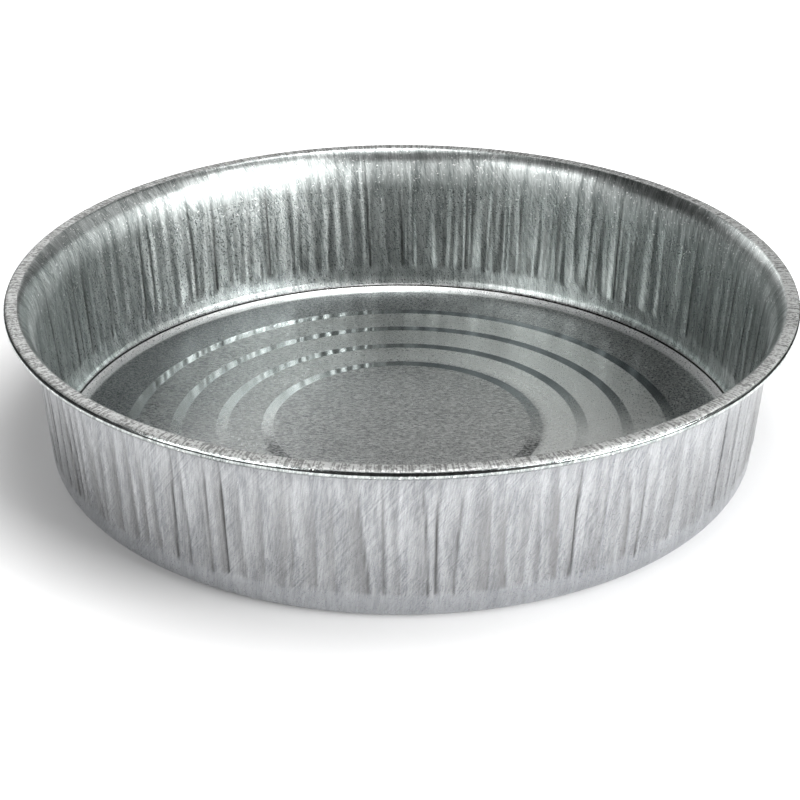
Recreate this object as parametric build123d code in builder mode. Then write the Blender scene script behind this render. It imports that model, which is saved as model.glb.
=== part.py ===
from build123d import *
import math
import os

# Round oil drain pan of galvanised sheet steel, drawn in one piece and rolled over a
# bead wire at the rim. Millimetres. Z is up, and the origin is the centre of the
# resting face. Every sub-part is a revolve about Z.

# Driving dimensions
rim_diameter = 406.4  # over the rolled rim
overall_height = 88.0  # resting face to the top of the rim
sheet = 0.7  # sheet thickness

foot_radius = 184.6  # outside of the wall, run down to the resting plane
wall_top_radius = 190.4  # outside of the wall, where it starts to flare
flare_height = 79.0  # height of that start
corner_radius = 8.5  # outside radius between floor and wall

ring_radii = (72.5, 97.0, 121.5, 146.5)  # middle of each stiffening ring, from the centre out
ring_width = 6.4
ring_step = 0.5  # each ring lifts the floor inside it by this much
ring_bend = 3.0  # radius that eases a ring into the flats beside it

wire_diameter = 3.3  # bead wire inside the roll
wire_clearance = 0.05  # between the wire and the sheet rolled round it
lip_radius = 196.2  # where the flare and the flat top of the rim would meet
lip_bend = 1.4  # inside bend of the lip
flare_bend = 24.0  # bend where the wall turns into the flare
roll_angle = 240.0  # how far the sheet wraps round the wire, from the top

# Worked out from the driving dimensions
wrap_radius = wire_diameter / 2 + wire_clearance
wire_centre_radius = rim_diameter / 2 - sheet - wrap_radius
wire_centre_height = overall_height - sheet - wrap_radius
floor_lift = ring_step * len(ring_radii)

# The underside of the sheet, from the centre out: stepped floor, foot and corner, wall,
# flare and lip.
skin_points = [(0, floor_lift)]
for index, radius in enumerate(ring_radii):
    lift_inside = floor_lift - ring_step * index
    skin_points.append((radius - ring_width / 2, lift_inside))
    skin_points.append((radius + ring_width / 2, lift_inside - ring_step))
corner_point = (foot_radius, 0)
flare_point = (wall_top_radius, flare_height)
lip_point = (lip_radius, overall_height - sheet)
roll_start = (wire_centre_radius, overall_height - sheet)
ring_points = skin_points[1:]
skin_points += [corner_point, flare_point, lip_point, roll_start]


def at(points):
    """Chooses the vertices that lie on the given radius and height pairs."""
    return lambda vertex: any(
        math.hypot(vertex.X - radius, vertex.Y - height) < 0.01 for radius, height in points
    )


# Pan body: one drawn sheet from the middle of the floor to the end of the roll
with BuildPart() as pan_body:
    with BuildSketch(Plane.XZ):
        with BuildLine() as skin:
            Polyline(*skin_points)
            fillet(skin.vertices().filter_by(at(ring_points)), ring_bend)
            fillet(skin.vertices().filter_by(at([corner_point])), corner_radius)
            fillet(skin.vertices().filter_by(at([flare_point])), flare_bend)
            fillet(skin.vertices().filter_by(at([lip_point])), lip_bend)
            CenterArc((wire_centre_radius, wire_centre_height), wrap_radius, 90, -roll_angle)
            offset(amount=sheet, side=Side.LEFT, closed=True)
        make_face()
    revolve(axis=Axis.Z)

# Rim wire: a round steel hoop that the roll closes over
with BuildPart() as rim_wire:
    with BuildSketch(Plane.XZ):
        with Locations((wire_centre_radius, wire_centre_height)):
            Circle(wire_diameter / 2)
    revolve(axis=Axis.Z)

os.makedirs("parts", exist_ok=True)
for piece, name in ((pan_body, "pan_body"), (rim_wire, "rim_wire")):
    piece.part.label = name
    export_step(piece.part, f"parts/{name}.step")
    size = piece.part.bounding_box().size
    print(name, "volume", round(piece.part.volume), "mm3, size", [round(s, 2) for s in size])
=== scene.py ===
# %% [markdown]
# # A round oil drain pan of galvanised sheet
#
# The pan is one disc of zinc-coated steel. A press draws it into a shallow pan, which leaves
# draw wrinkles all round the wall, and the edge is rolled over a steel wire to make a stiff
# rim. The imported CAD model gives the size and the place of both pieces, and this lesson adds
# what the press and the zinc did to the surface.

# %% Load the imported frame
import math
import random
from bisect import bisect_right

import bmesh
import bpy
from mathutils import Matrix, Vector, noise


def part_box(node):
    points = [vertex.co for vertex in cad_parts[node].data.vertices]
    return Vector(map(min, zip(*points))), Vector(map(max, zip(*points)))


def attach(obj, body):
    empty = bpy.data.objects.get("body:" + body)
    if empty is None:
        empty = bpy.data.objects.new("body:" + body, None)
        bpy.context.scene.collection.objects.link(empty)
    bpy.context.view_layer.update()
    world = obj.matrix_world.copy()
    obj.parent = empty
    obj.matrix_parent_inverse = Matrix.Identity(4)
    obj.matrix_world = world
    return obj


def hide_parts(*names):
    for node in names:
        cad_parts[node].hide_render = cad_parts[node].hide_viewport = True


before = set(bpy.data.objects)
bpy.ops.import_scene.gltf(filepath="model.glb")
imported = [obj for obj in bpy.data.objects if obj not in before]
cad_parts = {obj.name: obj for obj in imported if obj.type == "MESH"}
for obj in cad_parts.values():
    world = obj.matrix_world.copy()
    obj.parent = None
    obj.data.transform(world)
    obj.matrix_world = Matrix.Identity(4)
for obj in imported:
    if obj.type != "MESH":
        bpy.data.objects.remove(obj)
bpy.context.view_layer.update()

# %% [markdown]
# ## Driving dimensions
#
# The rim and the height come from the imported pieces, so the visual pan can't drift away from
# the solid one. The rest are the die's own sizes, in metres: where the wall stands, how wide
# the floor's rings are and how tight the bends are.

# %% Sizes of the pan
pan_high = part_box("pan_body")[1]
wire_low, wire_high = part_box("rim_wire")

rim_radius = pan_high[0]
rim_height = pan_high[2]
sheet = 0.0007

foot_radius = 0.1846
flare_radius = 0.1904
flare_height = 0.079
corner_bend = 0.0085
lip_radius = 0.1962
lip_bend = 0.0014
flare_bend = 0.024

ring_radii = (0.0725, 0.097, 0.1215, 0.1465)
ring_half = 0.0032
ring_step = 0.0005

wire_height = (wire_low[2] + wire_high[2]) / 2
wrap_radius = rim_height - sheet - wire_height
wire_radius = rim_radius - sheet - wrap_radius
roll_angle = math.radians(240)
print("rim radius", round(rim_radius, 4), "wire at", round(wire_radius, 4), round(wire_height, 4))

# %% [markdown]
# ## The section of the sheet
#
# A round pressing is the same all the way round, so it is enough to draw half of its section
# and turn it about the axis. The section is drawn along the underside of the sheet. It starts
# as a few vertices joined by edges. A vertex bevel rounds each bend, and spinning the last
# vertex round the wire's centre draws the roll.

# %% Rows where the section gets a vertex
middle_radii = (0.0, 0.022, 0.046)
outer_radii = (0.160, 0.170)
crease_feet = (0.0105, 0.0122, 0.0140, 0.0158, 0.0180)
crease_heights = (0.022, 0.028, 0.035, 0.043, 0.051, 0.059, 0.067)
floor_lift = ring_step * len(ring_radii)


def wall_at(height):
    """The point of the straight wall at a height."""
    share = height / flare_height
    return (foot_radius + (flare_radius - foot_radius) * share, height)


ring_points = []
for index, radius in enumerate(ring_radii):
    lift = floor_lift - ring_step * index
    ring_points.append((radius - ring_half, lift))
    ring_points.append((radius + ring_half, lift - ring_step))
print("the rings lift the middle of the floor by", floor_lift)

# %% Vertices along the underside of the sheet
corner_point = (foot_radius, 0.0)
flare_point = (flare_radius, flare_height)
lip_point = (lip_radius, rim_height - sheet)
roll_point = (wire_radius, rim_height - sheet)

points = [(radius, floor_lift) for radius in middle_radii]
points += ring_points
points += [(radius, 0.0) for radius in outer_radii]
points += [corner_point]
points += [wall_at(height) for height in crease_feet + crease_heights]
points += [flare_point, lip_point, roll_point]

section = bmesh.new()
vertices = [section.verts.new((radius, 0.0, height)) for radius, height in points]
for first, second in zip(vertices, vertices[1:]):
    section.edges.new((first, second))
print("section starts with", len(vertices), "vertices")

# %% Round the bends
ring_ease = 0.0005


def turn_at(before, corner, after):
    """How far the section turns at a corner, in radians."""
    arriving = Vector(corner) - Vector(before)
    leaving = Vector(after) - Vector(corner)
    return arriving.angle(leaving)


def bevel_corner(corner, offset, segments):
    """Bevels the section's vertex at a corner, starting at an offset along both of its edges."""
    bmesh.ops.bevel(
        section,
        geom=[vertices[points.index(corner)]],
        offset=offset,
        offset_type="OFFSET",
        segments=segments,
        profile=0.5,
        affect="VERTICES",
        material=-1,
    )


def round_bend(corner, bend, segments):
    """Turns a corner of the section into an arc of the given radius."""
    place = points.index(corner)
    turn = turn_at(points[place - 1], corner, points[place + 1])
    bevel_corner(corner, bend * math.tan(turn / 2), segments)


for corner in ring_points:
    bevel_corner(corner, ring_ease, 1)
round_bend(lip_point, lip_bend, 3)
round_bend(flare_point, flare_bend, 4)
round_bend(corner_point, corner_bend, 10)
print("with its bends the section has", len(section.verts), "vertices")

# %% Roll the edge over the wire
roll_steps = 9
bmesh.ops.spin(
    section,
    geom=[vertices[-1]],
    cent=(wire_radius, 0.0, wire_height),
    axis=(0.0, 1.0, 0.0),
    angle=roll_angle,
    steps=roll_steps,
)
print("section has", len(section.verts), "vertices")

# %% [markdown]
# ## Turning the section into a pan
#
# The spin makes the sheet's underside. The floor is smooth, so 250 steps are plenty there, but
# the wall's wrinkles are a few millimetres wide and need four times as many. Two numbers are
# kept on each vertex: the radius and the height it has in the section. They put the new
# vertices of the wall on their true circle, and later say where on the sheet a vertex lies.

# %% Spin the section
floor_steps = 250
same_place = 0.000001

section_radius = section.verts.layers.float.new("section_radius")
section_height = section.verts.layers.float.new("section_height")
for vertex in section.verts:
    vertex[section_radius] = vertex.co.x
    vertex[section_height] = vertex.co.z
bmesh.ops.spin(
    section,
    geom=section.verts[:] + section.edges[:],
    cent=(0.0, 0.0, 0.0),
    axis=(0.0, 0.0, 1.0),
    angle=math.tau,
    steps=floor_steps,
    use_merge=True,
)
bmesh.ops.remove_doubles(section, verts=section.verts, dist=same_place)
print("turned sheet has", len(section.faces), "faces")

# %% Divide the wall more finely than the floor
wall_cuts = 3
fine_from = 0.165
same_row = 0.0000001
near_axis = 0.001


def runs_round(edge):
    """True for an edge of the wall that follows a circle."""
    first, second = edge.verts
    same_radius = abs(first[section_radius] - second[section_radius]) < same_row
    same_height = abs(first[section_height] - second[section_height]) < same_row
    return same_radius and same_height and first[section_radius] > fine_from


bmesh.ops.subdivide_edges(
    section,
    edges=[edge for edge in section.edges if runs_round(edge)],
    cuts=wall_cuts,
    use_grid_fill=True,
)
for vertex in section.verts:
    reach = math.hypot(vertex.co.x, vertex.co.y)
    if reach > near_axis:
        scale = vertex[section_radius] / reach
        vertex.co.x *= scale
        vertex.co.y *= scale
print("divided sheet has", len(section.faces), "faces")

# %% Give the sheet its thickness
bmesh.ops.recalc_face_normals(section, faces=section.faces)
floor_face = min(section.faces, key=lambda face: face.calc_center_median().length)
grow = -sheet if floor_face.normal.z > 0 else sheet
bmesh.ops.solidify(
    section,
    geom=section.faces[:] + section.edges[:] + section.verts[:],
    thickness=grow,
)
bmesh.ops.recalc_face_normals(section, faces=section.faces)

side = section.verts.layers.float.new("inside")
for vertex in section.verts:
    out = math.hypot(vertex.co.x, vertex.co.y) - vertex[section_radius]
    up = vertex.co.z - vertex[section_height]
    vertex[side] = 1.0 if math.hypot(out, up) > sheet / 2 else 0.0
print("inside vertices", sum(vertex[side] > 0.5 for vertex in section.verts), "of", len(section.verts))
print("heights", min(v.co.z for v in section.verts), max(v.co.z for v in section.verts))

# %% [markdown]
# ## Draw wrinkles
#
# When a flat disc is drawn into a pan, its edge has to become shorter, and the spare metal
# folds into pleats. Each pleat leans a little, some crowd against their neighbours, and they
# stop above the corner, which the die held tight. They are made as a list of creases round the
# wall. Between two creases the sheet sags like a shallow gutter, and about half of the creases
# have a sharp groove in their peak.

# %% Creases round the wall
crease_gap = 0.0092
crease_jitter = 0.36
main_share = 0.48
lean_spread = 0.032
bow_spread = 0.0004
shade_range = (0.35, 1.0)
main_crease = {
    "groove": (0.0006, 0.0012),
    "peak": (0.0006, 0.0012),
    "start": (0.0135, 0.0150),
    "stop": (0.084, 0.092),
}
side_crease = {
    "groove": (0.0, 0.0003),
    "peak": (0.0004, 0.0009),
    "start": (0.0140, 0.0165),
    "stop": (0.076, 0.092),
}

random.seed(11)
wall_mid_radius = (foot_radius + flare_radius) / 2
wall_length = math.tau * wall_mid_radius
crease_count = round(wall_length / crease_gap)

creases = []
for index in range(crease_count):
    kind = main_crease if random.random() < main_share else side_crease
    jitter = random.uniform(-crease_jitter, crease_jitter)
    creases.append(
        {
            "place": (index + jitter) * wall_length / crease_count,
            "groove": random.uniform(*kind["groove"]),
            "peak": random.uniform(*kind["peak"]),
            "lean": random.gauss(0.0, lean_spread),
            "bow": random.gauss(0.0, bow_spread),
            "start": random.uniform(*kind["start"]),
            "stop": random.uniform(*kind["stop"]),
            "shade": random.uniform(*shade_range),
        }
    )
creases.sort(key=lambda crease: crease["place"])
print("creases round the wall:", len(creases))

# %% Where the creases cross a height
mid_height = 0.045
least_gap = 0.0030
drift_slope = 0.035
drift_scale = 9.0
drift_layer = 3.0
bow_waves_up = 90.0
bow_waves_round = 40.0
foot_fade_below = 0.0015
foot_fade_above = 0.0010
top_fade = 0.040


def smooth(edge_low, edge_high, value):
    """0 below the low edge, 1 above the high edge and a smooth slope between."""
    share = min(max((value - edge_low) / (edge_high - edge_low), 0.0), 1.0)
    return share * share * (3.0 - 2.0 * share)


def creases_at(height):
    """Where each crease crosses a height, in order round the wall, and how strong it is there."""
    rise = height - mid_height
    places = []
    fades = []
    for crease in creases:
        drift_place = Vector((crease["place"] * drift_scale, 0.0, drift_layer))
        drift = drift_slope * noise.noise(drift_place)
        place = crease["place"] + (crease["lean"] + drift) * rise
        place += crease["bow"] * math.sin(rise * bow_waves_up + crease["place"] * bow_waves_round)
        if places:
            place = max(place, places[-1] + least_gap)
        start = crease["start"]
        stop = crease["stop"]
        fade = smooth(start - foot_fade_below, start + foot_fade_above, height)
        fade *= 1.0 - smooth(stop - top_fade, stop, height)
        places.append(place)
        fades.append(fade)
    return places, fades


halfway = creases_at(mid_height)[0]
gaps = [second - first for first, second in zip(halfway, halfway[1:])]
print("gaps between creases:", round(min(gaps), 4), "to", round(max(gaps), 4))

# %% Depth of the pleats at a place on the wall
groove_half = 0.0012
gutter_power = 1.6


def pleat(place, row):
    """The sheet's shape at a place round the wall.

    Between two creases the sheet sags inwards like a shallow gutter, so it peaks at each
    crease, and a main crease has a sharp groove in its peak. Returns how far the sheet
    stands out, how deep the groove is and how dark the facet is, which grows from one
    crease to the next.
    """
    places, fades = row
    after = bisect_right(places, place)
    before = (after - 1) % len(places)
    low = places[before] if after > 0 else places[before] - wall_length
    high = places[after] if after < len(places) else places[0] + wall_length
    after = after % len(places)
    share = (place - low) / max(high - low, 0.0001)
    peak_low = creases[before]["peak"] * fades[before]
    peak_high = creases[after]["peak"] * fades[after]
    gutter = peak_low * (1.0 - share) + peak_high * share
    sag = gutter * (abs(2.0 * share - 1.0) ** gutter_power - 0.5)
    near_low = 1.0 - smooth(0.0, groove_half, place - low)
    near_high = 1.0 - smooth(0.0, groove_half, high - place)
    cut_low = creases[before]["groove"] * fades[before] * near_low
    cut_high = creases[after]["groove"] * fades[after] * near_high
    cut = cut_low + cut_high
    strength = fades[before] * (1.0 - share) + fades[after] * share
    shade = strength * share * creases[before]["shade"]
    return sag - cut, cut, shade


print("a place halfway up:", [round(value, 5) for value in pleat(0.1, creases_at(mid_height))])

# %% Small waves between the pleats
ripple_depth = 0.00062
ripple_size = (0.0036, 0.045)
ripple_outside = 0.5
swell_depth = 0.0006
swell_size = (0.022, 0.09)
swell_layer = 7.0


def wave(around, height, size, layer=0.0):
    """A smooth noise of one width round the wall and another up it."""
    width, length = size
    return noise.noise(Vector((around.x / width, around.y / width, height / length + layer)))


def waves_at(around, height, is_inside):
    """How far the small waves push the sheet out at a place on the wall, in metres."""
    low_down = 1.25 - 0.6 * smooth(0.030, 0.075, height)
    ripple = wave(around, height, ripple_size)
    ripple *= ripple_depth * low_down if is_inside else ripple_depth * ripple_outside
    swell = wave(around, height, swell_size, swell_layer)
    band = smooth(0.0115, 0.0160, height) * (1.0 - smooth(0.066, 0.089, height))
    return (ripple + swell * swell_depth) * band


sample = Vector((wall_mid_radius, 0.0, 0.0))
print("a wave halfway up:", round(waves_at(sample, mid_height, True), 6))

# %% Press the pleats into the sheet
pressed_from_radius = 0.176
pressed_from_height = 0.0095
pressed_to_height = 0.0865
deep_fold = 0.0010

fold = section.verts.layers.float.new("fold")
shade_layer = section.verts.layers.float.new("pleat_shade")
rows = {}
for vertex in section.verts:
    height = vertex[section_height]
    is_pressed = vertex[section_radius] >= pressed_from_radius
    is_pressed = is_pressed and pressed_from_height <= height <= pressed_to_height
    if not is_pressed:
        continue
    key = round(height, 5)
    if key not in rows:
        rows[key] = creases_at(height)
    angle = math.atan2(vertex.co.y, vertex.co.x) % math.tau
    level, cut, shade = pleat(angle * wall_mid_radius, rows[key])
    around = Vector((math.cos(angle), math.sin(angle), 0.0)) * wall_mid_radius
    push = level + waves_at(around, height, vertex[side] > 0.5)
    vertex.co.x += math.cos(angle) * push
    vertex.co.y += math.sin(angle) * push
    vertex[fold] = min(cut / deep_fold, 1.0)
    vertex[shade_layer] = shade
print("pleated rows:", len(rows))

# %% [markdown]
# ## The line round the foot
#
# Inside the corner the punch left a fine sharp line. One row of the corner's inner vertices is
# pressed into the sheet. Its radius is kept, because the material paints the same line nearly
# black, as painted shade in the crevice.

# %% Press the line into the corner
line_depth = 0.00035
line_target = 0.1828
corner_top = 0.007
corner_start = 0.179
same_circle = 0.000002


def in_corner(vertex):
    """True for the vertices of the corner's inner face."""
    is_low = vertex[section_height] < corner_top
    return vertex[side] > 0.5 and is_low and vertex[section_radius] > corner_start


corner_verts = [vertex for vertex in section.verts if in_corner(vertex)]
corner_rows = sorted({round(vertex[section_radius], 6) for vertex in corner_verts})
line_row = min(corner_rows, key=lambda row: abs(row - line_target))
line_radius = line_row
for vertex in corner_verts:
    if abs(vertex[section_radius] - line_row) < same_circle:
        reach = math.hypot(vertex.co.x, vertex.co.y)
        line_radius = reach
        out = (vertex[section_radius] - reach) / sheet
        down = (vertex[section_height] - vertex.co.z) / sheet
        scale = (reach + out * line_depth) / reach
        vertex.co.x *= scale
        vertex.co.y *= scale
        vertex.co.z += down * line_depth
print("line round the foot at radius", round(line_radius, 5))

# %% [markdown]
# ## The pan's mesh
#
# The sheet is now a closed shell with an even thickness, so it can be written to a mesh. It
# stands for the CAD solid, which stays hidden for the physics.

# %% Write the mesh
pan_mesh = bpy.data.meshes.new("drawn_pan")
section.to_mesh(pan_mesh)
section.free()
for polygon in pan_mesh.polygons:
    polygon.use_smooth = True
drawn_pan = bpy.data.objects.new("drawn_pan", pan_mesh)
bpy.context.scene.collection.objects.link(drawn_pan)
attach(drawn_pan, "root")
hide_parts("pan_body")
triangle_count = sum(len(polygon.vertices) - 2 for polygon in pan_mesh.polygons)
print("drawn_pan triangles:", triangle_count)

# %% [markdown]
# ## Small helpers for materials
#
# Every material below is built from the same few steps: a bit of arithmetic, a soft ramp from one
# value to another, a mix and a noise. Each step gets a short function, so a material reads as a
# list of what its surface is made of.

# %% Helpers that add nodes and links
def add_node(tree, kind, **settings):
    """Adds a node and sets its properties."""
    made = tree.nodes.new(kind)
    for name, value in settings.items():
        setattr(made, name, value)
    return made


def connect(tree, source, target):
    """Links a socket, or sets a plain value."""
    if isinstance(source, bpy.types.NodeSocket):
        tree.links.new(source, target)
    else:
        target.default_value = source


def math_node(tree, operation, first, second=0.0, third=0.0, clamp=False):
    """One step of arithmetic on values."""
    made = add_node(tree, "ShaderNodeMath", operation=operation, use_clamp=clamp)
    for socket, value in zip(made.inputs, (first, second, third)):
        connect(tree, value, socket)
    return made.outputs[0]


def vector_node(tree, operation, first, second):
    """One step of arithmetic on vectors."""
    made = add_node(tree, "ShaderNodeVectorMath", operation=operation)
    connect(tree, first, made.inputs[0])
    connect(tree, second, made.inputs["Scale"] if operation == "SCALE" else made.inputs[1])
    return made.outputs[0]


print("helpers for arithmetic are ready")

# %% Helpers for masks and tones
def product(tree, first, *others):
    """Multiplies values, such as two masks and a strength."""
    for other in others:
        first = math_node(tree, "MULTIPLY", first, other)
    return first


def inverse(tree, mask):
    """1 where the mask is 0, and 0 where it is 1."""
    return math_node(tree, "SUBTRACT", 1.0, mask)


def add_share(tree, base, value, share, clamp=False):
    """Adds a share of a value to a base."""
    return math_node(tree, "MULTIPLY_ADD", value, share, base, clamp)


def ramp(tree, value, low, high, out_low=0.0, out_high=1.0):
    """Maps a value from one range to another with a smooth step."""
    made = add_node(tree, "ShaderNodeMapRange", interpolation_type="SMOOTHSTEP")
    for name, item in (
        ("Value", value),
        ("From Min", low),
        ("From Max", high),
        ("To Min", out_low),
        ("To Max", out_high),
    ):
        connect(tree, item, made.inputs[name])
    return made.outputs["Result"]


def stripe(tree, value, rise_from, rise_to, fall_from, fall_to):
    """1 in a stripe of values that has a soft edge on each side, and 0 elsewhere."""
    return product(tree, ramp(tree, value, rise_from, rise_to), ramp(tree, value, fall_to, fall_from))


print("helpers for masks are ready")

# %% Helpers for mixes and noises
def mix_value(tree, factor, first, second):
    """Mixes two values."""
    made = add_node(tree, "ShaderNodeMix", data_type="FLOAT")
    connect(tree, factor, made.inputs[0])
    connect(tree, first, made.inputs[2])
    connect(tree, second, made.inputs[3])
    return made.outputs[0]


def mix_color(tree, factor, first, second):
    """Mixes two colours."""
    made = add_node(tree, "ShaderNodeMix", data_type="RGBA")
    connect(tree, factor, made.inputs[0])
    connect(tree, first, made.inputs[6])
    connect(tree, second, made.inputs[7])
    return made.outputs[2]


def noise_at(tree, vector, scale, detail=2.0, roughness=0.5):
    """A noise value at a vector."""
    made = add_node(tree, "ShaderNodeTexNoise")
    connect(tree, vector, made.inputs["Vector"])
    made.inputs["Scale"].default_value = scale
    made.inputs["Detail"].default_value = detail
    made.inputs["Roughness"].default_value = roughness
    return made.outputs[0]


print("helpers for mixes are ready")

# %% Helpers for node groups
def new_group(name, inputs, outputs):
    """A shader node group with named inputs and outputs."""
    tree = bpy.data.node_groups.new(name, "ShaderNodeTree")
    for label, kind, value in inputs:
        socket = tree.interface.new_socket(label, in_out="INPUT", socket_type=kind)
        if value is not None:
            socket.default_value = value
    for label, kind in outputs:
        tree.interface.new_socket(label, in_out="OUTPUT", socket_type=kind)
    entry = tree.nodes.new("NodeGroupInput")
    leave = tree.nodes.new("NodeGroupOutput")
    return tree, entry, leave


def place_group(tree, group, **values):
    """Places a group and gives its inputs their values."""
    made = add_node(tree, "ShaderNodeGroup", node_tree=group)
    for name, value in values.items():
        connect(tree, value, made.inputs[name])
    return made


print("node groups so far:", len(bpy.data.node_groups))

# %% [markdown]
# ## Where a point lies on the pan
#
# The marks on a round pressing follow its axis: rings, crimps and draw marks all run round it or
# up its wall. This group turns an object coordinate into a direction round the axis, a radius and
# a height. The direction is kept as a vector, because an angle would leave a seam at half a turn.

# %% A group for the pan's own coordinates
polar_group, entry, leave = new_group(
    "around_the_pan",
    [],
    [
        ("Around", "NodeSocketVector"),
        ("Radius", "NodeSocketFloat"),
        ("Height", "NodeSocketFloat"),
        ("Place", "NodeSocketVector"),
    ],
)
coordinates = add_node(polar_group, "ShaderNodeTexCoord")
split = add_node(polar_group, "ShaderNodeSeparateXYZ")
polar_group.links.new(coordinates.outputs["Object"], split.inputs[0])
flat = add_node(polar_group, "ShaderNodeCombineXYZ")
polar_group.links.new(split.outputs[0], flat.inputs[0])
polar_group.links.new(split.outputs[1], flat.inputs[1])
reach = add_node(polar_group, "ShaderNodeVectorMath", operation="LENGTH")
polar_group.links.new(flat.outputs[0], reach.inputs[0])
direction = add_node(polar_group, "ShaderNodeVectorMath", operation="NORMALIZE")
polar_group.links.new(flat.outputs[0], direction.inputs[0])
polar_group.links.new(direction.outputs[0], leave.inputs["Around"])
polar_group.links.new(reach.outputs["Value"], leave.inputs["Radius"])
polar_group.links.new(split.outputs[2], leave.inputs["Height"])
polar_group.links.new(coordinates.outputs["Object"], leave.inputs["Place"])
print("nodes in around_the_pan:", len(polar_group.nodes))

# %% [markdown]
# ## Zinc crystals
#
# Hot zinc freezes into crystals, and on thin sheet they can be as small as two millimetres. Each
# one is a cell of its own grey. The cells' edges are bent by a noise so they don't look cut, and
# a second, finer noise stands for the frosty grain inside them.

# %% A group for the crystals
bend_scale = 260.0
bend_reach = 0.004
grain_scale = 1150.0

spangle_group, entry, leave = new_group(
    "zinc_spangle",
    [("Place", "NodeSocketVector", None), ("Scale", "NodeSocketFloat", 500.0)],
    [("Tone", "NodeSocketFloat"), ("Grain", "NodeSocketFloat")],
)
bent = add_node(spangle_group, "ShaderNodeTexNoise")
spangle_group.links.new(entry.outputs["Place"], bent.inputs["Vector"])
bent.inputs["Scale"].default_value = bend_scale
bent.inputs["Detail"].default_value = 3.0
shift = vector_node(spangle_group, "SCALE", bent.outputs["Color"], bend_reach)
moved = vector_node(spangle_group, "ADD", entry.outputs["Place"], shift)
cells = add_node(spangle_group, "ShaderNodeTexVoronoi", feature="F1")
spangle_group.links.new(moved, cells.inputs["Vector"])
spangle_group.links.new(entry.outputs["Scale"], cells.inputs["Scale"])
cell_tone = add_node(spangle_group, "ShaderNodeSeparateColor")
spangle_group.links.new(cells.outputs["Color"], cell_tone.inputs[0])
grain = noise_at(spangle_group, entry.outputs["Place"], grain_scale, 2.0, 0.6)
spangle_group.links.new(cell_tone.outputs[0], leave.inputs["Tone"])
spangle_group.links.new(grain, leave.inputs["Grain"])
print("nodes in zinc_spangle:", len(spangle_group.nodes))

# %% [markdown]
# ## Galvanised sheet
#
# One metal covers the whole sheet, as on the real pan, and masks say what lies where. The floor
# keeps its crystals, and its rings are smoother. The wall was drawn through the die, which left
# fibres, broad streaks and slanting scratches. The crown was crimped as the edge rolled over the
# wire. Painted shade darkens the folds, the crimps' hollows, the line round the foot and the
# outside near the foot.

# %% Start the zinc and read the mesh's own marks
zinc = bpy.data.materials.new("galvanised_zinc")
zinc.use_nodes = True
tree = zinc.node_tree
shader = tree.nodes["Principled BSDF"]
shader.inputs["Metallic"].default_value = 1.0


def mesh_mark(tree, name):
    """A value that was stored on the mesh's vertices."""
    return add_node(tree, "ShaderNodeAttribute", attribute_name=name).outputs["Fac"]


polar = place_group(tree, polar_group)
around = polar.outputs["Around"]
radius = polar.outputs["Radius"]
height = polar.outputs["Height"]
place = polar.outputs["Place"]
inside = mesh_mark(tree, "inside")
outside = inverse(tree, inside)
in_fold = mesh_mark(tree, "fold")
pleat_shade = mesh_mark(tree, "pleat_shade")
print("marks stored on the mesh:", [mark.name for mark in pan_mesh.attributes if mark.domain == "POINT"])

# %% Crystals, grain and clouds
crystal_scale = 420.0
cloud_scale = 34.0
spangle = place_group(tree, spangle_group, Place=place, Scale=crystal_scale)
crystal = spangle.outputs["Tone"]
grain = spangle.outputs["Grain"]
cloud = noise_at(tree, place, cloud_scale, 4.0, 0.6)
print("crystals are about", round(1000 / crystal_scale, 1), "mm wide")

# %% Masks for the floor, the wall and the rings
ring_edge = 0.0004
on_floor = product(tree, ramp(tree, height, 0.004, 0.0032), inside)
on_wall = ramp(tree, radius, 0.172, 0.178)
ring_mask = 0.0
for ring in ring_radii:
    away = math_node(tree, "ABSOLUTE", math_node(tree, "SUBTRACT", radius, ring))
    ring_band = ramp(tree, away, ring_half + ring_edge, ring_half - ring_edge)
    ring_mask = math_node(tree, "MAXIMUM", ring_mask, ring_band)
ring_mask = product(tree, ring_mask, on_floor)
print("nodes after the floor's masks:", len(tree.nodes))

# %% Masks for the crown and its crimps
crimp_scale = 820.0
crimp_break_scale = 700.0
on_crown = stripe(tree, radius, 0.1958, 0.1966, 0.2019, 0.2027)
rim_mask = product(tree, on_crown, ramp(tree, height, 0.0860, 0.0872))
on_circle = vector_node(tree, "SCALE", around, rim_radius)
crimp = product(tree, noise_at(tree, on_circle, crimp_scale, 2.0, 0.7), 0.55)
crimp = add_share(tree, crimp, noise_at(tree, place, crimp_break_scale, 2.0, 0.6), 0.45)
crimp_mark = ramp(tree, crimp, 0.44, 0.54)
print("nodes after the crown's masks:", len(tree.nodes))

# %% Scratches that climb the wall at a slant
scratch_slant = -4.2
scratch_scale = 950.0
patch_scale = 60.0


def slanted(tree, vector, turn):
    """Turns a vector about the axis, in radians for each metre of height."""
    made = add_node(tree, "ShaderNodeVectorRotate", rotation_type="Z_AXIS")
    connect(tree, vector, made.inputs["Vector"])
    connect(tree, product(tree, height, turn), made.inputs["Angle"])
    return made.outputs[0]


scratch = noise_at(tree, slanted(tree, on_circle, scratch_slant), scratch_scale, 1.0, 0.5)
scratch_patch = ramp(tree, noise_at(tree, place, patch_scale, 2.0, 0.5), 0.35, 0.65)
scratch = product(tree, math_node(tree, "SUBTRACT", scratch, 0.5), scratch_patch)
print("nodes after the scratches:", len(tree.nodes))

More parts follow.
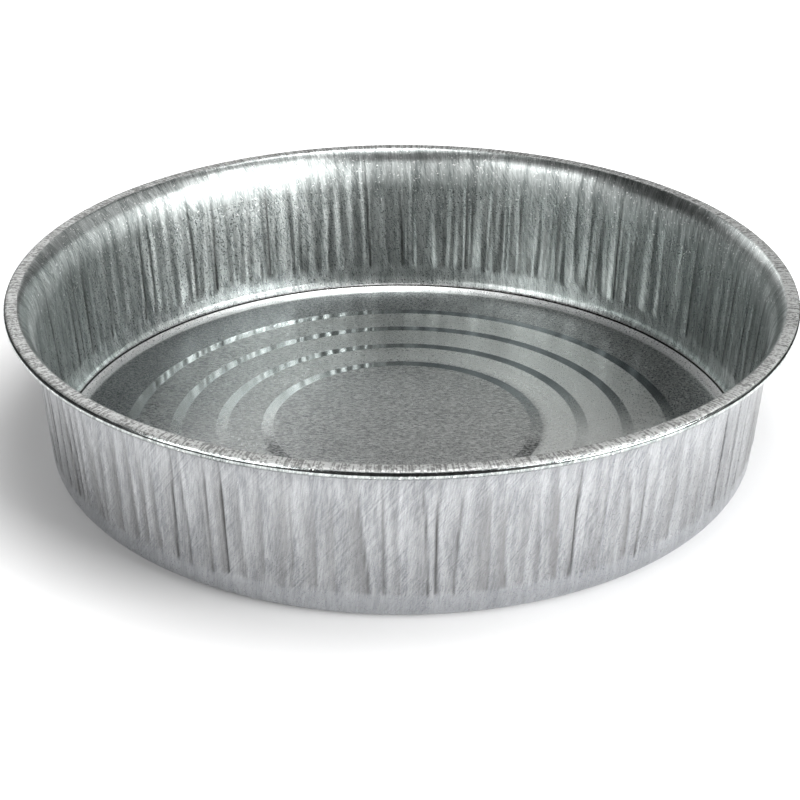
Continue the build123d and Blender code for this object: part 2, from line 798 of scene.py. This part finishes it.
# %% Fine fibres and broad streaks that the die drew up the wall
fibre_slant = -0.9
fibre_scale = 1300.0
streak_scale = 230.0
stretch = 0.12
climb = add_node(tree, "ShaderNodeCombineXYZ")
connect(tree, product(tree, height, stretch), climb.inputs[2])
fibre_place = vector_node(tree, "ADD", slanted(tree, on_circle, fibre_slant), climb.outputs[0])
fibre = noise_at(tree, fibre_place, fibre_scale, 2.0, 0.6)
streak_place = vector_node(tree, "ADD", on_circle, climb.outputs[0])
streak = noise_at(tree, streak_place, streak_scale, 2.0, 0.55)
print("nodes after the fibres:", len(tree.nodes))

# %% [markdown]
# ## Colour
#
# The tone runs from 0 in a dark grain to 1 in a pale one, and each zone has its own dark and pale
# zinc. Some tones also change with the place on the pan. The floor is paler to the right, the
# rings are paler to the left and fade out towards the front, and the front of the innermost ring
# is dark. The outer flat is darkened, the band beside the foot's line is nearly white, and each
# facet of the wall darkens towards one side.
#
# These tones stand in for reflections that the lamps alone don't give. They belong to the pan's
# place and not to the camera's, so they stay on it when it is turned, and look painted under
# other light. A share of 0 in the cell below takes one of them out, and giving the left and the
# right the same colours takes out most of the rest.

# %% Strength of the tones that stand in for reflections
flat_share = 0.75
front_share = 0.9
outside_shade_share = 0.9
inside_shade_share = 0.75
across = add_node(tree, "ShaderNodeSeparateXYZ")
connect(tree, place, across.inputs[0])
rightwards = across.outputs[0]
backwards = across.outputs[1]
to_right = ramp(tree, rightwards, -0.13, 0.13)
print("shares:", flat_share, front_share, outside_shade_share, inside_shade_share)

# %% Tone of the floor
stroke_scale = 1250.0
stroke_place = add_node(tree, "ShaderNodeMapping")
connect(tree, place, stroke_place.inputs["Vector"])
stroke_place.inputs["Rotation"].default_value = (0.0, 0.0, math.radians(-14))
stroke_place.inputs["Scale"].default_value = (0.36, 1.0, 1.0)
strokes = noise_at(tree, stroke_place.outputs[0], stroke_scale, 2.0, 0.6)
strokes = ramp(tree, strokes, 0.37, 0.63)
speckle = ramp(tree, grain, 0.36, 0.64)
cloud_part = product(tree, cloud, 0.2)
floor_tone = add_share(tree, cloud_part, crystal, 0.12)
floor_tone = add_share(tree, floor_tone, strokes, 0.48)
floor_tone = add_share(tree, floor_tone, speckle, 0.20, clamp=True)
print("nodes after the floor's tone:", len(tree.nodes))

# %% Tone of the wall
wall_tone = add_share(tree, cloud_part, ramp(tree, fibre, 0.36, 0.64), 0.38)
wall_tone = add_share(tree, wall_tone, ramp(tree, streak, 0.38, 0.62), 0.36)
wall_tone = add_share(tree, wall_tone, speckle, 0.12)
wall_tone = add_share(tree, wall_tone, scratch, 1.2, clamp=True)
tone = mix_value(tree, on_wall, floor_tone, wall_tone)
print("nodes after the wall's tone:", len(tree.nodes))

# %% Colour of the wall's inside, with small glints high up
wall_dark = (0.20, 0.225, 0.22, 1.0)
wall_pale = (0.72, 0.755, 0.745, 1.0)
glint_white = (0.97, 0.98, 0.97, 1.0)
glint_scale = 760.0
wall_color = mix_color(tree, tone, wall_dark, wall_pale)
glint = ramp(tree, noise_at(tree, place, glint_scale, 1.0, 0.5), 0.66, 0.70)
glint = product(tree, glint, ramp(tree, height, 0.035, 0.065))
wall_color = mix_color(tree, glint, wall_color, glint_white)
print("wall runs from", wall_dark[:3], "to", wall_pale[:3])

# %% Colour of the floor and its flats
left_dark = (0.09, 0.098, 0.100, 1.0)
left_pale = (0.58, 0.59, 0.59, 1.0)
right_dark = (0.15, 0.16, 0.155, 1.0)
right_pale = (0.86, 0.87, 0.86, 1.0)
flat_white = (0.93, 0.95, 0.93, 1.0)
outer_flat_dark = (0.10, 0.12, 0.135, 1.0)
floor_dark = mix_color(tree, to_right, left_dark, right_dark)
floor_pale = mix_color(tree, to_right, left_pale, right_pale)
floor_color = mix_color(tree, floor_tone, floor_dark, floor_pale)
between_rings = stripe(tree, radius, 0.074, 0.080, 0.144, 0.150)
bright_flat = product(tree, between_rings, to_right, flat_share)
floor_color = mix_color(tree, bright_flat, floor_color, flat_white)
outer_flat = stripe(tree, radius, 0.1494, 0.1504, 0.1740, 0.1760)
outer_dark = product(tree, outer_flat, ramp(tree, speckle, 0.0, 1.0, 0.55, 0.10))
floor_color = mix_color(tree, outer_dark, floor_color, outer_flat_dark)
print("floor runs from", left_dark[:3], "to", right_pale[:3])

# %% Put the inside and the outside together
outside_low = (0.25, 0.26, 0.275, 1.0)
outside_high = (0.55, 0.56, 0.575, 1.0)
inside_color = mix_color(tree, on_floor, wall_color, floor_color)
outside_color = mix_color(tree, tone, outside_low, outside_high)
zinc_color = mix_color(tree, inside, outside_color, inside_color)
print("outside runs from", outside_low[:3], "to", outside_high[:3])

# %% Colour of the rings
ring_right = (0.17, 0.195, 0.205, 1.0)
ring_left = (0.56, 0.59, 0.585, 1.0)
front_dark = (0.05, 0.055, 0.055, 1.0)
to_left = ramp(tree, rightwards, 0.020, -0.020)
ring_color = mix_color(tree, to_left, ring_right, ring_left)
ring_paint = product(tree, ring_mask, ramp(tree, backwards, -0.030, 0.060))
zinc_color = mix_color(tree, ring_paint, zinc_color, ring_color)
to_front = ramp(tree, backwards, -0.010, -0.026)
inner_ring = product(tree, ring_mask, ramp(tree, radius, 0.104, 0.080))
uneven = ramp(tree, strokes, 0.25, 0.75, 1.0, 0.35)
front_mark = product(tree, to_front, inner_ring, front_share, uneven)
zinc_color = mix_color(tree, front_mark, zinc_color, front_dark)
print("rings run from", ring_left[:3], "to", ring_right[:3])

# %% Shade on the facets between the creases
outside_shade = (0.24, 0.24, 0.24, 1.0)
inside_shade = (0.13, 0.145, 0.14, 1.0)
facet = product(tree, pleat_shade, outside, outside_shade_share)
zinc_color = mix_color(tree, facet, zinc_color, outside_shade)
hollow = product(tree, pleat_shade, inside, inside_shade_share)
zinc_color = mix_color(tree, hollow, zinc_color, inside_shade)
print("nodes after the facets:", len(tree.nodes))

# %% Colour of the crown, and painted shade in its crimps and on the outside near the foot
crown_pale = (0.72, 0.73, 0.72, 1.0)
foot_grey = (0.40, 0.41, 0.43, 1.0)
crimp_grey = (0.20, 0.20, 0.195, 1.0)
zinc_color = mix_color(tree, rim_mask, zinc_color, crown_pale)
# The outside is painted darker near the foot: painted shade.
foot_shade = product(tree, ramp(tree, height, 0.0155, 0.0125), outside, 0.5)
zinc_color = mix_color(tree, foot_shade, zinc_color, foot_grey)
# The crimps' hollows are painted darker: painted shade.
crimp_shade = product(tree, inverse(tree, crimp_mark), rim_mask, 0.8)
zinc_color = mix_color(tree, crimp_shade, zinc_color, crimp_grey)
print("nodes after the crown:", len(tree.nodes))

# %% Painted highlight on the band inside the foot, and painted shade in its line and the creases
band_white = (0.98, 0.98, 0.98, 1.0)
line_black = (0.02, 0.02, 0.018, 1.0)
fold_shade = (0.05, 0.05, 0.048, 1.0)
# The band beside the line is painted nearly white: a painted highlight.
foot_bright = product(tree, stripe(tree, radius, 0.1752, 0.1772, 0.1820, 0.1826), inside)
zinc_color = mix_color(tree, foot_bright, zinc_color, band_white)
# The line round the foot is painted nearly black: painted shade in the crevice.
line_away = math_node(tree, "ABSOLUTE", math_node(tree, "SUBTRACT", radius, line_radius))
low_down = ramp(tree, height, 0.009, 0.007)
line_mark = product(tree, ramp(tree, line_away, 0.0006, 0.0003), inside, low_down)
zinc_color = mix_color(tree, line_mark, zinc_color, line_black)
# The creases' grooves are darkened nearly black: painted shade.
zinc_color = mix_color(tree, product(tree, in_fold, 0.9), zinc_color, fold_shade)
connect(tree, zinc_color, shader.inputs["Base Color"])
print("mixes in the colour:", sum(node.type == "MIX" for node in tree.nodes))

# %% [markdown]
# ## Roughness and relief
#
# The zinc is half bright, and its grain makes it a little rougher here and there. The flare is
# evenly smooth, the bend below it is rougher, and the crimped crown is the roughest. The roll's
# outer bend is smoother, and so are the rings, most of all at the back left. The bump only adds
# what is too fine for the mesh: grain, fibres, scratches and the crimps' edges.

# %% Roughness
flare_rough = 0.28
roll_rough = 0.16
crown_rough = 0.5
rough = ramp(tree, grain, 0.35, 0.65, 0.26, 0.42)
on_flare = product(tree, ramp(tree, height, 0.0780, 0.0830), inside)
rough = mix_value(tree, on_flare, rough, flare_rough)
below_flare = stripe(tree, height, 0.064, 0.073, 0.0790, 0.0835)
rough = math_node(tree, "ADD", rough, product(tree, below_flare, inside, 0.16))
ring_rough = math_node(tree, "MULTIPLY_ADD", to_left, -0.16, 0.24)
rough = mix_value(tree, ring_paint, rough, ring_rough)
on_roll = ramp(tree, radius, 0.2014, 0.2022)
rough = mix_value(tree, on_roll, rough, roll_rough)
rough = mix_value(tree, rim_mask, rough, crown_rough)
connect(tree, rough, shader.inputs["Roughness"])
print("roughness of the flare, the roll and the crown:", flare_rough, roll_rough, crown_rough)

# %% Bump
crimp_relief = 0.00018
fibre_relief = 0.00008
scratch_relief = 0.00006
grain_relief = 0.00005
crimp_height = product(tree, crimp_mark, rim_mask, crimp_relief)
floor_grain = product(tree, grain, on_floor, grain_relief)
fibre_height = product(tree, fibre, on_wall, fibre_relief)
grain_height = math_node(tree, "ADD", fibre_height, floor_grain)
calm = inverse(tree, math_node(tree, "MAXIMUM", ring_mask, on_roll))
upper_wall = ramp(tree, height, 0.030, 0.070, 0.45, 1.0)
flare_calm = math_node(tree, "MULTIPLY_ADD", on_flare, -0.5, 1.0)
calm = product(tree, calm, math_node(tree, "MAXIMUM", upper_wall, on_floor), flare_calm)
grain_height = product(tree, grain_height, calm)
total_height = math_node(tree, "ADD", crimp_height, grain_height)
scratch_height = product(tree, scratch, on_wall, scratch_relief)
total_height = math_node(tree, "ADD", scratch_height, total_height)
bump = add_node(tree, "ShaderNodeBump")
bump.inputs["Strength"].default_value = 1.0
bump.inputs["Distance"].default_value = 1.0
connect(tree, total_height, bump.inputs["Height"])
connect(tree, bump.outputs[0], shader.inputs["Normal"])
pan_mesh.materials.append(zinc)
print("nodes in", zinc.name + ":", len(tree.nodes))

# %% [markdown]
# ## Bead wire
#
# The wire is plain drawn steel without zinc. It lies hidden in the roll, so it keeps the solid's
# own mesh and only gets a dull, slightly uneven metal.

# %% Wire
wire_dark = (0.32, 0.31, 0.30, 1.0)
wire_pale = (0.50, 0.50, 0.50, 1.0)
wire_steel = bpy.data.materials.new("drawn_wire_steel")
wire_steel.use_nodes = True
tree = wire_steel.node_tree
shader = tree.nodes["Principled BSDF"]
polar = place_group(tree, polar_group)
spot = noise_at(tree, polar.outputs["Place"], 220.0, 4.0, 0.6)
connect(tree, mix_color(tree, spot, wire_dark, wire_pale), shader.inputs["Base Color"])
connect(tree, ramp(tree, spot, 0.3, 0.7, 0.3, 0.5), shader.inputs["Roughness"])
shader.inputs["Metallic"].default_value = 1.0
wire_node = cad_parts["rim_wire"]
for wire_slot in wire_node.material_slots:
    wire_slot.material = wire_steel
print("wire slots", len(wire_node.material_slots))

# %% [markdown]
# ## Studio floor
#
# A bright pan shows its surroundings more than itself, so the studio is part of its look. It
# stands on pale paper. The paper glows away from the pan, which keeps the background pale, and
# hardly at all near it, so the pan's own soft shadow stays.

# %% Floor
glow_from = 0.19
glow_to = 0.31
glow_near = 0.03
glow_far = 0.60

floor_mesh = bpy.data.meshes.new("studio_floor")
floor_bm = bmesh.new()
bmesh.ops.create_grid(floor_bm, x_segments=1, y_segments=1, size=4.0)
floor_bm.to_mesh(floor_mesh)
floor_bm.free()
studio_floor = bpy.data.objects.new("studio_floor", floor_mesh)
bpy.context.scene.collection.objects.link(studio_floor)
print("floor reaches", studio_floor.dimensions.x / 2, "m from the pan")

# %% Paper that glows away from the pan
paper = bpy.data.materials.new("pale_paper")
paper.use_nodes = True
tree = paper.node_tree
paper_shader = tree.nodes["Principled BSDF"]
paper_shader.inputs["Base Color"].default_value = (0.8, 0.8, 0.8, 1.0)
paper_shader.inputs["Roughness"].default_value = 0.9
paper_shader.inputs["Specular IOR Level"].default_value = 0.0
paper_shader.inputs["Emission Color"].default_value = (1.0, 1.0, 1.0, 1.0)
light_path = add_node(tree, "ShaderNodeLightPath")
seen = math_node(tree, "ADD", light_path.outputs["Is Camera Ray"], light_path.outputs["Is Glossy Ray"])
seen = math_node(tree, "ADD", seen, light_path.outputs["Is Transmission Ray"], clamp=True)
floor_place = add_node(tree, "ShaderNodeTexCoord")
floor_reach = add_node(tree, "ShaderNodeVectorMath", operation="LENGTH")
tree.links.new(floor_place.outputs["Object"], floor_reach.inputs[0])
lift = ramp(tree, floor_reach.outputs["Value"], glow_from, glow_to, glow_near, glow_far)
connect(tree, product(tree, seen, lift), paper_shader.inputs["Emission Strength"])
floor_mesh.materials.append(paper)
print("nodes in", paper.name + ":", len(tree.nodes))

# %% [markdown]
# ## White backdrop
#
# A round screen far behind the pan keeps the background white from a low camera. Only the camera
# sees it, so it adds nothing to the reflections.

# %% Helper for a ring that stands on the floor
def standing_ring(name, radius, height):
    """A thin round wall about the pan's axis."""
    mesh = bpy.data.meshes.new(name)
    ring = bmesh.new()
    bmesh.ops.create_circle(ring, cap_ends=False, radius=radius, segments=96)
    raised = bmesh.ops.extrude_edge_only(ring, edges=ring.edges[:])
    lifted = [item for item in raised["geom"] if isinstance(item, bmesh.types.BMVert)]
    bmesh.ops.translate(ring, verts=lifted, vec=(0.0, 0.0, height))
    ring.to_mesh(mesh)
    ring.free()
    made = bpy.data.objects.new(name, mesh)
    bpy.context.scene.collection.objects.link(made)
    print(name, "has", len(mesh.polygons), "faces")
    return made


# %% White backdrop
backdrop = standing_ring("backdrop", radius=3.0, height=3.0)
backdrop.visible_diffuse = False
backdrop.visible_glossy = False
backdrop.visible_shadow = False
screen = bpy.data.materials.new("lit_screen")
screen.use_nodes = True
screen_shader = screen.node_tree.nodes["Principled BSDF"]
screen_shader.inputs["Base Color"].default_value = (0.8, 0.8, 0.8, 1.0)
screen_shader.inputs["Emission Color"].default_value = (1.0, 1.0, 1.0, 1.0)
screen_shader.inputs["Emission Strength"].default_value = 1.0
backdrop.data.materials.append(screen)
print("backdrop height", backdrop.dimensions.z)

# %% [markdown]
# ## Dark flag
#
# Bright metal melts into a white background unless it has something dark to reflect. This low
# ring of black velvet does that. It draws the dark line under the rim's bright bend. The camera,
# the shadows and the soft light between surfaces leave it out.

# %% Dark flag
dark_flag = standing_ring("dark_flag", radius=0.52, height=0.17)
dark_flag.visible_camera = False
dark_flag.visible_shadow = False
dark_flag.visible_diffuse = False
velvet = bpy.data.materials.new("black_velvet")
velvet.use_nodes = True
velvet_shader = velvet.node_tree.nodes["Principled BSDF"]
velvet_shader.inputs["Base Color"].default_value = (0.02, 0.02, 0.02, 1.0)
velvet_shader.inputs["Roughness"].default_value = 0.9
dark_flag.data.materials.append(velvet)
print("flag height", dark_flag.dimensions.z)

# %% [markdown]
# ## Air round the studio
#
# The room is pale near the floor and dark overhead. The pale part fills the lower wall, and the
# dark part lets the lamps stand out in the zinc.

# %% World
pale_air = 0.8
dark_air = 0.03
world = bpy.data.worlds.new("studio_air")
bpy.context.scene.world = world
world.use_nodes = True
tree = world.node_tree
background = tree.nodes["Background"]
sky = add_node(tree, "ShaderNodeTexCoord")
sky_split = add_node(tree, "ShaderNodeSeparateXYZ")
tree.links.new(sky.outputs["Generated"], sky_split.inputs[0])
air = ramp(tree, sky_split.outputs[2], 0.10, 0.24, pale_air, dark_air)
connect(tree, air, background.inputs["Strength"])
background.inputs["Color"].default_value = (1.0, 1.0, 1.0, 1.0)
print("world nodes", len(tree.nodes))

# %% [markdown]
# ## Lamps
#
# Each lamp is a softbox at an azimuth and an elevation round the pan. The key stands low at the
# front right and rakes the wall, and a weaker fill stands at the front left. One wide panel is
# behind, smaller ones are at the back left and at the right, the top lamp is nearly overhead,
# and the lip strip is a narrow lamp above the key. Bright metal is lit by moving its lamps about
# until the highlights sit well, and that is how these places were found.

# %% Lamps
def softbox(name, azimuth, elevation, distance, width, tall, power):
    """A rectangular lamp that looks at the pan. Azimuth 0 is the front and 90 is the right."""
    lamp = bpy.data.lights.new(name, "AREA")
    lamp.shape = "RECTANGLE"
    lamp.size = width
    lamp.size_y = tall
    lamp.energy = power
    holder = bpy.data.objects.new(name, lamp)
    turn = math.radians(azimuth)
    rise = math.radians(elevation)
    level = math.cos(rise)
    away = Vector((math.sin(turn) * level, -math.cos(turn) * level, math.sin(rise)))
    holder.location = away * distance
    holder.rotation_euler = away.to_track_quat("Z", "Y").to_euler()
    holder.visible_camera = False
    bpy.context.scene.collection.objects.link(holder)


softbox("key_softbox", azimuth=58, elevation=14, distance=1.3, width=0.8, tall=0.28, power=25)
softbox("fill_softbox", azimuth=-48, elevation=27, distance=1.3, width=0.8, tall=0.7, power=6)
softbox("back_panel", azimuth=180, elevation=34, distance=1.3, width=1.9, tall=0.7, power=1.8)
softbox("top_softbox", azimuth=60, elevation=82, distance=1.2, width=0.8, tall=0.6, power=8.0)
softbox("lip_strip", azimuth=54, elevation=42, distance=1.3, width=0.9, tall=0.24, power=3.4)
softbox("left_panel", azimuth=-152, elevation=24, distance=1.3, width=0.8, tall=0.5, power=1.8)
softbox("right_panel", azimuth=115, elevation=30, distance=1.3, width=0.9, tall=0.6, power=1.0)
print("lamps:", [light.name for light in bpy.data.lights])

# %% [markdown]
# ## Camera
#
# The camera looks down into the pan at about 28 degrees from a metre away, close enough for the
# near wall to look taller than the far one.

# %% Camera
look_down = 27.54
look_left = 0.065
camera_data = bpy.data.cameras.new("camera")
camera_data.lens = 84.4
camera_data.sensor_width = 36.0
camera_data.clip_start = 0.01
camera = bpy.data.objects.new("camera", camera_data)
camera.location = (0.0, -0.8902, 0.4808)
camera.rotation_euler = (math.radians(90 - look_down), 0.0, math.radians(look_left))
bpy.context.scene.collection.objects.link(camera)
bpy.context.scene.camera = camera
print("camera distance", round(camera.location.length, 3))

# %% Plain view of the colours
bpy.context.scene.view_settings.view_transform = "Standard"
print("view transform:", bpy.context.scene.view_settings.view_transform)
